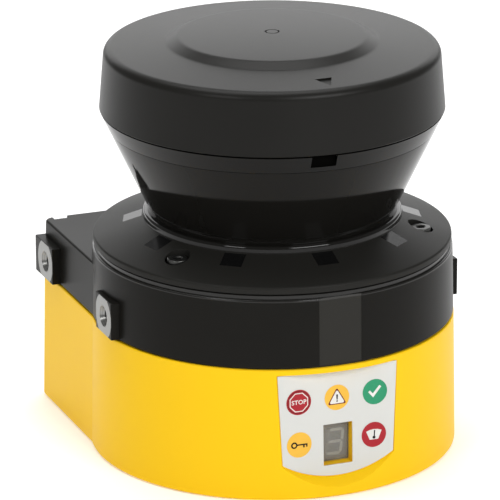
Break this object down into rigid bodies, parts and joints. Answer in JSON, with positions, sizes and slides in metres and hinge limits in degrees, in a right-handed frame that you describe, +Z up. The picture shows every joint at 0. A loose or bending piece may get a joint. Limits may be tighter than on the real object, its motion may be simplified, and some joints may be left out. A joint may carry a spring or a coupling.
{
  "type": "safety laser scanner",
  "caption": "Compact safety laser scanner: round-fronted yellow base with display panel, black housing with threaded bosses, dark conical optics cover, flat cap and spinning mirror inside.",
  "frame": {"origin": "on the scan axis at the level of the flat underside", "axes": "+Z up along the scan axis, -Y towards the front with the display panel, +X to the right seen from the front"},
  "size_m": [0.102, 0.1046, 0.116],
  "materials": {
    "yellow_body": "fine textured yellow",
    "black_body": "satin black paint",
    "dark_cover": "dark glossy plastic",
    "cap_black": "fine matte black",
    "seal": "soft",
    "steel": "plain",
    "brass_part": "nickel",
    "label": "printed foil",
    "window": "tinted",
    "digit": "grey",
    "board": "solder mask",
    "led": "clear",
    "light_guide": "clear",
    "dark_steel": "black oxide",
    "insert": "plain",
    "frame": "cast",
    "lens": "clear",
    "laser": "turned",
    "ribbon": "flat cable",
    "cup": "turned",
    "core": "laminated",
    "copper": "enamelled wire",
    "magnet": "dark",
    "disc": "etched",
    "carrier": "plain",
    "mirror": "polished",
    "sensor": "plain"
  },
  "bodies": {
    "housing": {"lower_housing": "yellow_body", "upper_housing": "black_body", "optics_cover": "dark_cover", "head_cap": "cap_black", "housing_seal": "seal", "cover_seal": "seal", "cover_screws": "dark_steel", "housing_screws": "steel", "frame_screws": "steel", "cup_screws": "steel", "board_screws": "steel", "head_screws": "steel", "display_label": "label", "display_window": "window", "digit_display": "digit", "display_board": "board", "status_leds": "led", "light_guide_1": "light_guide", "light_guide_2": "light_guide", "light_guide_3": "light_guide", "light_guide_4": "light_guide", "light_guide_5": "light_guide", "system_connector": "brass_part", "system_contacts": "insert", "system_nut": "brass_part", "config_connector": "brass_part", "config_contacts": "insert", "config_nut": "brass_part", "config_cap": "insert", "power_board": "board", "main_board": "board", "board_spacers": "brass_part", "ribbon_cable": "ribbon", "optics_frame": "frame", "lens_holder": "carrier", "receiver_lens": "lens", "laser_bridge": "frame", "laser_module": "laser", "receiver_board": "board", "photodiode": "steel", "head_spacers": "brass_part", "motor_cup": "cup", "lower_bearing": "steel", "upper_bearing": "steel", "bearing_plug": "cup", "stator_core": "core", "stator_coils": "copper", "motor_board": "board", "encoder_fork": "sensor", "contamination_sensors": "sensor"},
    "rotor": {"spindle": "steel", "spindle_clip": "steel", "rotor_bell": "core", "magnet_ring": "magnet", "encoder_disc": "disc", "mirror_carrier": "carrier", "scan_mirror": "mirror"}
  },
  "joints": [
    {"name": "mirror_spin", "type": "hinge", "parent": "housing", "child": "rotor", "pos_m": [0, 0, 0.0732], "axis": [0, 0, 1], "continuous": true}
  ]
}
